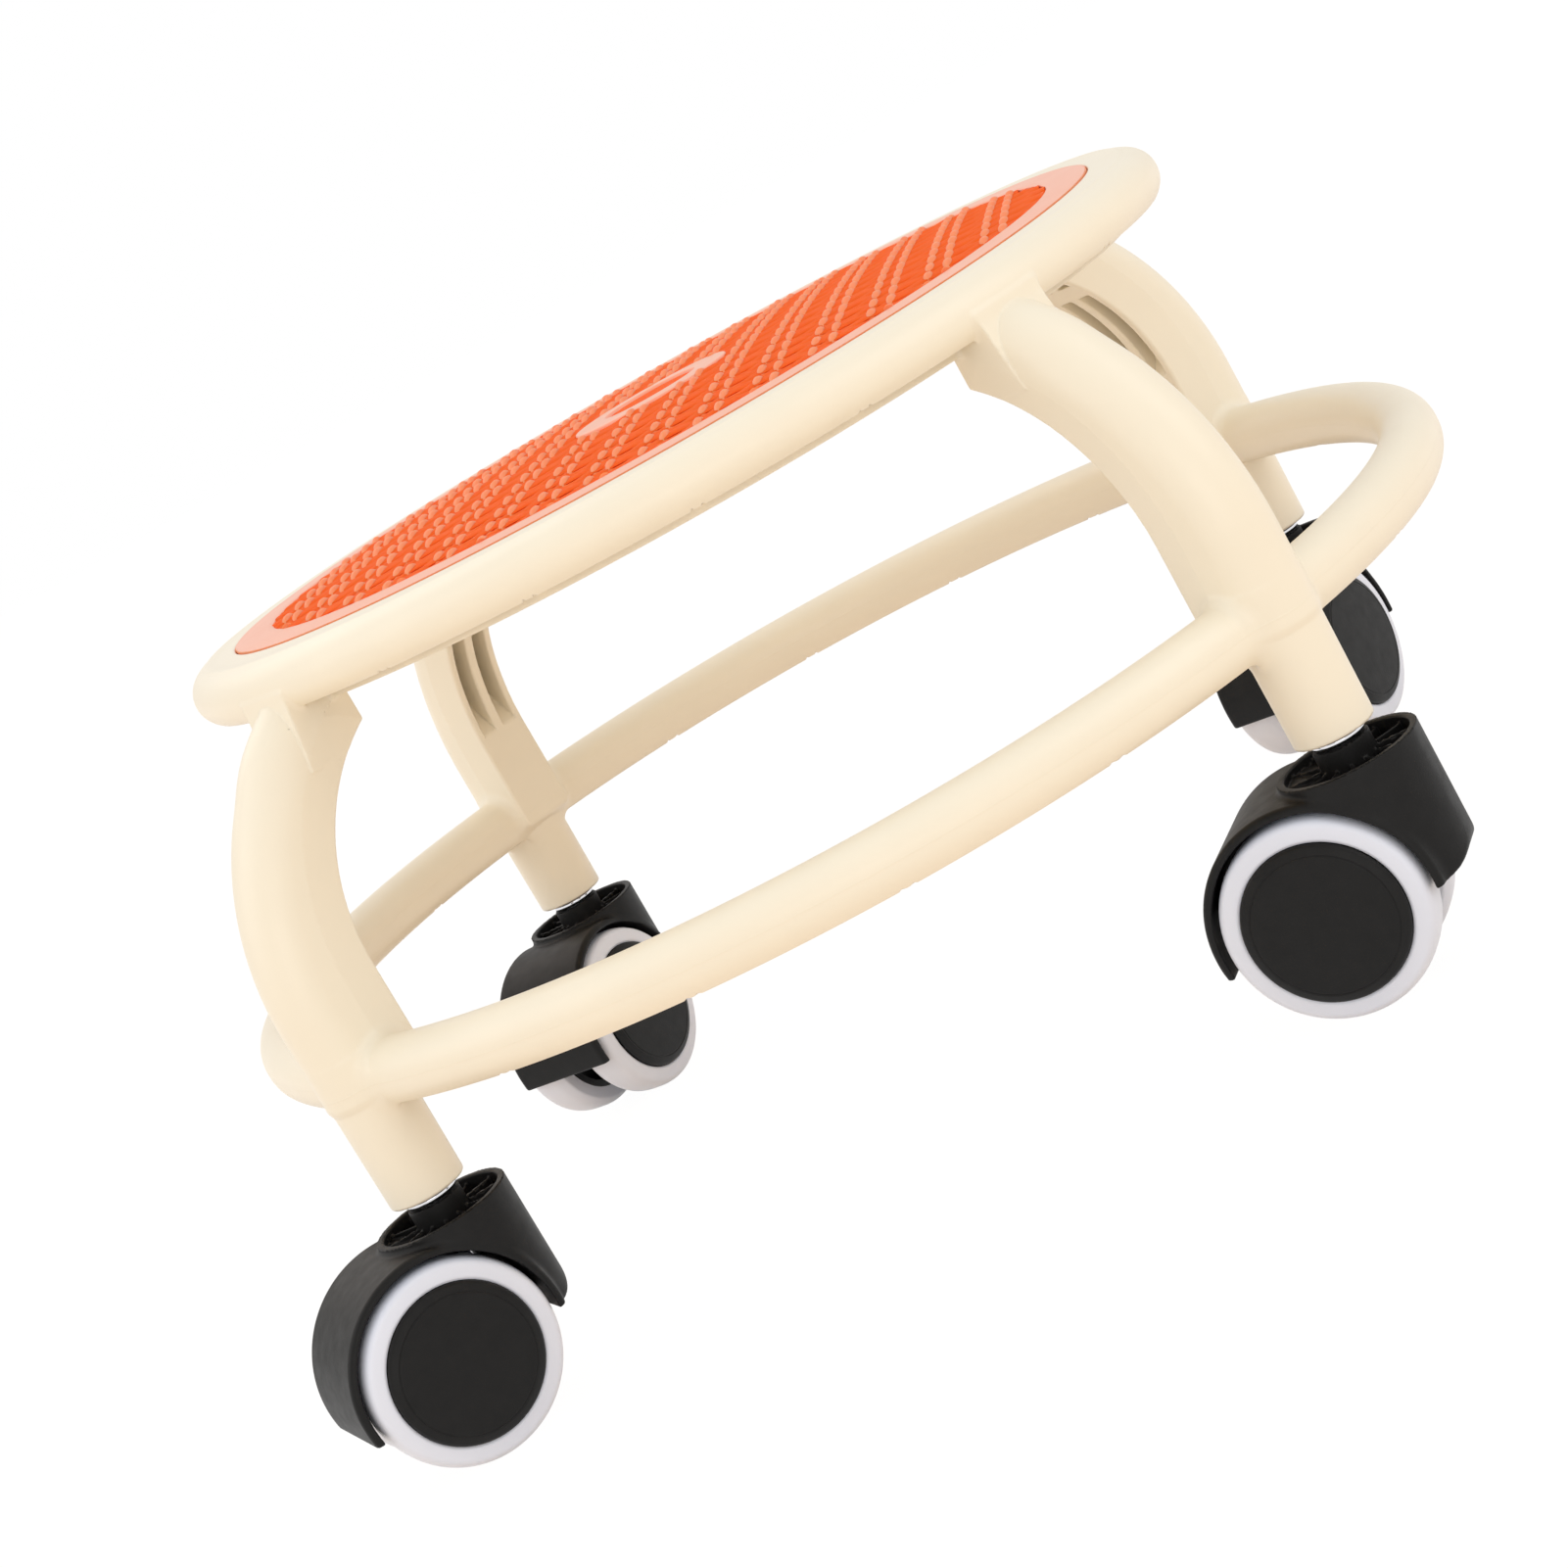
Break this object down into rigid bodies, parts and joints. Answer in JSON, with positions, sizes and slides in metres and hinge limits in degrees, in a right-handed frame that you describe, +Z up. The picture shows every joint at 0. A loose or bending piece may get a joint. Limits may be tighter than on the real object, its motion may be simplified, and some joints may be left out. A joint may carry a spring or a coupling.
{
  "type": "low rolling stool",
  "caption": "Low round work stool on twin-wheel castors: a moulded pad on a rimmed plastic frame with bowed legs joined by a foot ring.",
  "frame": {"origin": "on the floor, on the axis of the round seat, which is the middle of the box around the stool", "axes": "+Z up; front is -Y; the legs stand at 45 degrees to X and Y"},
  "size_m": [0.3472, 0.3472, 0.1925],
  "materials": {
    "frame_plastic": "satin cream moulding",
    "pad_plastic": "orange, soft sheen, moulded weave of cords and flat strands",
    "castor_plastic": "black, soft sheen",
    "tyre": "pale grey, smooth",
    "chrome": "bright plated",
    "steel": "plain bright steel"
  },
  "bodies": {
    "frame": {"seat_frame": "frame_plastic", "seat_pad": "pad_plastic", "leg_back_right": "frame_plastic", "leg_back_left": "frame_plastic", "leg_front_left": "frame_plastic", "leg_front_right": "frame_plastic", "foot_rail_back": "frame_plastic", "foot_rail_left": "frame_plastic", "foot_rail_front": "frame_plastic", "foot_rail_right": "frame_plastic", "castor_back_right_stem": "chrome", "castor_back_right_grip_ring": "steel", "castor_back_left_stem": "chrome", "castor_back_left_grip_ring": "steel", "castor_front_left_stem": "chrome", "castor_front_left_grip_ring": "steel", "castor_front_right_stem": "chrome", "castor_front_right_grip_ring": "steel"},
    "castor_back_right": {"castor_back_right_hood": "castor_plastic", "castor_back_right_axle": "steel"},
    "castor_back_right_wheel_left": {"castor_back_right_tyre_left": "tyre", "castor_back_right_wheel_core_left": "castor_plastic", "castor_back_right_hub_cap_left": "castor_plastic"},
    "castor_back_right_wheel_right": {"castor_back_right_tyre_right": "tyre", "castor_back_right_wheel_core_right": "castor_plastic", "castor_back_right_hub_cap_right": "castor_plastic"},
    "castor_back_left": {"castor_back_left_hood": "castor_plastic", "castor_back_left_axle": "steel"},
    "castor_back_left_wheel_left": {"castor_back_left_tyre_left": "tyre", "castor_back_left_wheel_core_left": "castor_plastic", "castor_back_left_hub_cap_left": "castor_plastic"},
    "castor_back_left_wheel_right": {"castor_back_left_tyre_right": "tyre", "castor_back_left_wheel_core_right": "castor_plastic", "castor_back_left_hub_cap_right": "castor_plastic"},
    "castor_front_left": {"castor_front_left_hood": "castor_plastic", "castor_front_left_axle": "steel"},
    "castor_front_left_wheel_left": {"castor_front_left_tyre_left": "tyre", "castor_front_left_wheel_core_left": "castor_plastic", "castor_front_left_hub_cap_left": "castor_plastic"},
    "castor_front_left_wheel_right": {"castor_front_left_tyre_right": "tyre", "castor_front_left_wheel_core_right": "castor_plastic", "castor_front_left_hub_cap_right": "castor_plastic"},
    "castor_front_right": {"castor_front_right_hood": "castor_plastic", "castor_front_right_axle": "steel"},
    "castor_front_right_wheel_left": {"castor_front_right_tyre_left": "tyre", "castor_front_right_wheel_core_left": "castor_plastic", "castor_front_right_hub_cap_left": "castor_plastic"},
    "castor_front_right_wheel_right": {"castor_front_right_tyre_right": "tyre", "castor_front_right_wheel_core_right": "castor_plastic", "castor_front_right_hub_cap_right": "castor_plastic"}
  },
  "joints": [
    {"name": "castor_back_right_swivel", "type": "hinge", "parent": "frame", "child": "castor_back_right", "pos_m": [0.12021, 0.12021, 0.0584], "axis": [0, 0, 1], "continuous": true},
    {"name": "castor_back_right_roll_left", "type": "hinge", "parent": "castor_back_right", "child": "castor_back_right_wheel_left", "pos_m": [0.11212, 0.1048, 0.025], "axis": [0.8854, -0.4648, 0], "continuous": true},
    {"name": "castor_back_right_roll_right", "type": "hinge", "parent": "castor_back_right", "child": "castor_back_right_wheel_right", "pos_m": [0.11212, 0.1048, 0.025], "axis": [0.8854, -0.4648, 0], "continuous": true},
    {"name": "castor_back_left_swivel", "type": "hinge", "parent": "frame", "child": "castor_back_left", "pos_m": [-0.12021, 0.12021, 0.0584], "axis": [0, 0, 1], "continuous": true},
    {"name": "castor_back_left_roll_left", "type": "hinge", "parent": "castor_back_left", "child": "castor_back_left_wheel_left", "pos_m": [-0.12729, 0.10431, 0.025], "axis": [0.9135, -0.4067, 0], "continuous": true},
    {"name": "castor_back_left_roll_right", "type": "hinge", "parent": "castor_back_left", "child": "castor_back_left_wheel_right", "pos_m": [-0.12729, 0.10431, 0.025], "axis": [0.9135, -0.4067, 0], "continuous": true},
    {"name": "castor_front_left_swivel", "type": "hinge", "parent": "frame", "child": "castor_front_left", "pos_m": [-0.12021, -0.12021, 0.0584], "axis": [0, 0, 1], "continuous": true},
    {"name": "castor_front_left_roll_left", "type": "hinge", "parent": "castor_front_left", "child": "castor_front_left_wheel_left", "pos_m": [-0.13488, -0.12956, 0.025], "axis": [0.5373, -0.8434, 0], "continuous": true},
    {"name": "castor_front_left_roll_right", "type": "hinge", "parent": "castor_front_left", "child": "castor_front_left_wheel_right", "pos_m": [-0.13488, -0.12956, 0.025], "axis": [0.5373, -0.8434, 0], "continuous": true},
    {"name": "castor_front_right_swivel", "type": "hinge", "parent": "frame", "child": "castor_front_right", "pos_m": [0.12021, -0.12021, 0.0584], "axis": [0, 0, 1], "continuous": true},
    {"name": "castor_front_right_roll_left", "type": "hinge", "parent": "castor_front_right", "child": "castor_front_right_wheel_left", "pos_m": [0.10335, -0.11591, 0.025], "axis": [-0.247, -0.969, 0], "continuous": true},
    {"name": "castor_front_right_roll_right", "type": "hinge", "parent": "castor_front_right", "child": "castor_front_right_wheel_right", "pos_m": [0.10335, -0.11591, 0.025], "axis": [-0.247, -0.969, 0], "continuous": true}
  ]
}
